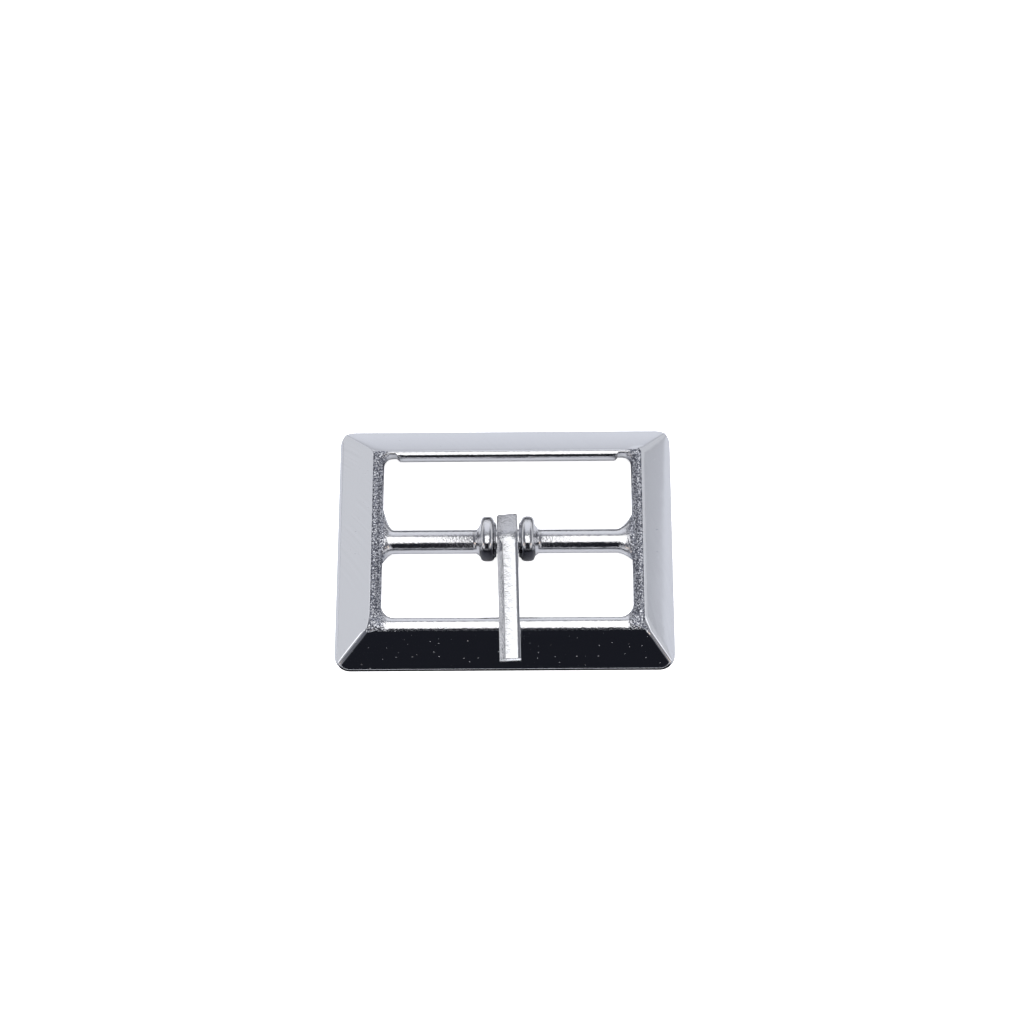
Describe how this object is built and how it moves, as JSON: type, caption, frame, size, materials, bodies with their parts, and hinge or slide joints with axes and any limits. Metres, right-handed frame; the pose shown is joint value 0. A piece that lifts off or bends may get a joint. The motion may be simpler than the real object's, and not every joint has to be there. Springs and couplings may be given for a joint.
{
  "type": "belt buckle",
  "caption": "Rectangular centre-bar belt buckle: bevelled hollow-backed frame with a collared bar, and a squared prong that swings on the bar",
  "frame": {"origin": "centre of the frame's outline, on the flat back plane that faces the wearer", "axes": "+X along the centre bar, +Y across the bar towards the rail that the strap's fixed end passes, +Z out of the face; the prong rests on the rail at -Y"},
  "size_m": [0.049, 0.0381, 0.0066],
  "materials": {
    "frame_plating": "bright nickel plate, polished on the four sloping faces and left as cast on the crest, inner walls, bar and collars",
    "prong_plating": "bright nickel plate over a tumbled surface, satin in grain"
  },
  "bodies": {
    "buckle_frame": {"frame": "frame_plating"},
    "prong_body": {"prong": "prong_plating"}
  },
  "joints": [
    {"name": "prong_swing", "type": "hinge", "parent": "buckle_frame", "child": "prong_body", "pos_m": [0.00045, 0, 0.00328], "axis": [-1, 0, 0], "range_deg": [0, 156]}
  ]
}
